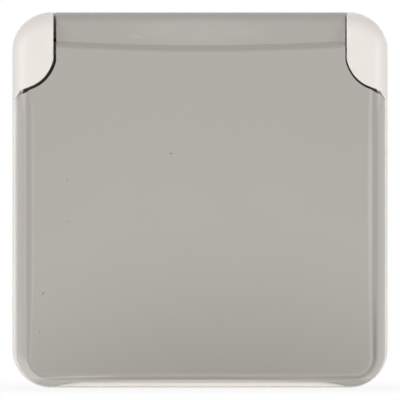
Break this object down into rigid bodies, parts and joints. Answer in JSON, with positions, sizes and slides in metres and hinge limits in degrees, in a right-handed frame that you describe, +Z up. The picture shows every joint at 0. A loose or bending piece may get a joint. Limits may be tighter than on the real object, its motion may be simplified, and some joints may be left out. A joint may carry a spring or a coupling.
{
  "type": "outdoor weatherproof socket",
  "caption": "Square surface-mounted outdoor socket: cream wall box and frame, sprung grey hinged lid between two hinge ears, gaskets, round plug well and contacts.",
  "frame": {"origin": "middle of the back face, on the wall", "axes": "+X to the right seen from the front, +Z up, +Y into the wall; the lid faces -Y"},
  "size_m": [0.08, 0.055, 0.08],
  "materials": {
    "cream_plastic": "moulded cream plastic, fine matte surface",
    "grey_plastic": "moulded warm grey plastic, fine matte surface",
    "white_plastic": "moulded off-white plastic",
    "dark_thermoset": "dark pressed thermoset",
    "black_rubber": "soft black rubber",
    "plated_steel": "zinc plated steel",
    "spring_steel": "bright spring steel",
    "contact_brass": "bare brass"
  },
  "bodies": {
    "housing": {"back_box": "cream_plastic", "box_seal": "black_rubber", "front_frame": "cream_plastic", "frame_screws": "plated_steel", "socket_insert": "white_plastic", "insert_seal": "black_rubber", "centre_screw": "plated_steel", "contact_carrier": "dark_thermoset", "live_contact": "contact_brass", "neutral_contact": "contact_brass", "earth_bracket": "spring_steel", "live_terminal": "contact_brass", "neutral_terminal": "contact_brass", "earth_terminal": "contact_brass", "terminal_screws": "plated_steel", "mechanism_screws": "plated_steel", "hinge_pin": "plated_steel", "lid_spring": "spring_steel", "cable_grommet": "black_rubber"},
    "lid": {"lid": "grey_plastic", "lid_seal": "black_rubber"}
  },
  "joints": [
    {"name": "lid_hinge", "type": "hinge", "parent": "housing", "child": "lid", "pos_m": [0, -0.0495, 0.035], "axis": [-1, 0, 0], "range_deg": [0, 120], "stiffness_Nm_per_rad": 0.02, "springref_deg": -28.65, "deforming": ["lid_spring"]}
  ]
}
